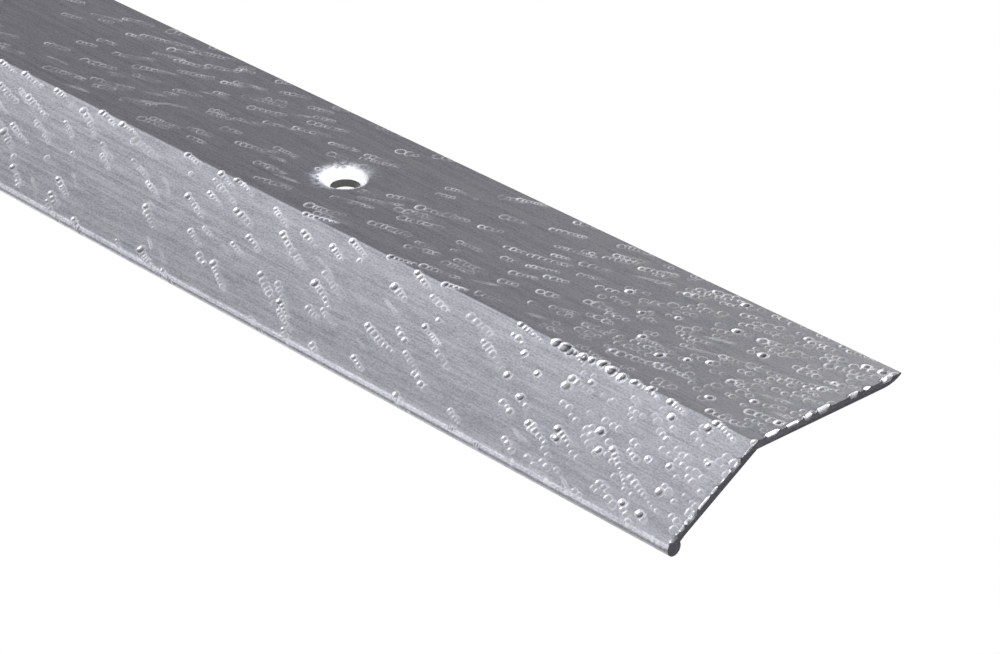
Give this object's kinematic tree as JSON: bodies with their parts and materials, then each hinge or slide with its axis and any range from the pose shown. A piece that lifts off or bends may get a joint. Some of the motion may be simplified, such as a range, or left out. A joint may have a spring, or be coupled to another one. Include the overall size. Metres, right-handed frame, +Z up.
{
  "type": "threshold strip",
  "caption": "Bent, embossed aluminium strip that covers a step between two floor coverings, with dimpled holes for countersunk screws into floor plugs.",
  "frame": {"origin": "mid-length, on the line of screw holes, on the underside of the back wing", "axes": "+X along the strip towards the end whose nearest hole is open, +Y from the ridge towards the back edge on the higher floor, +Z up"},
  "size_m": [0.9, 0.0403, 0.0365],
  "materials": {
    "aluminium": "bright mill finish with fine lines along the strip, embossed with a wood-grain pattern of small pits",
    "screw_steel": "bright zinc plated",
    "plug_nylon": "plain moulded nylon"
  },
  "bodies": {
    "root": {"strip_profile": "aluminium", "screw_1": "screw_steel", "screw_2": "screw_steel", "screw_3": "screw_steel", "screw_4": "screw_steel", "screw_5": "screw_steel", "plug_1": "plug_nylon", "plug_2": "plug_nylon", "plug_3": "plug_nylon", "plug_4": "plug_nylon", "plug_5": "plug_nylon"}
  },
  "joints": []
}
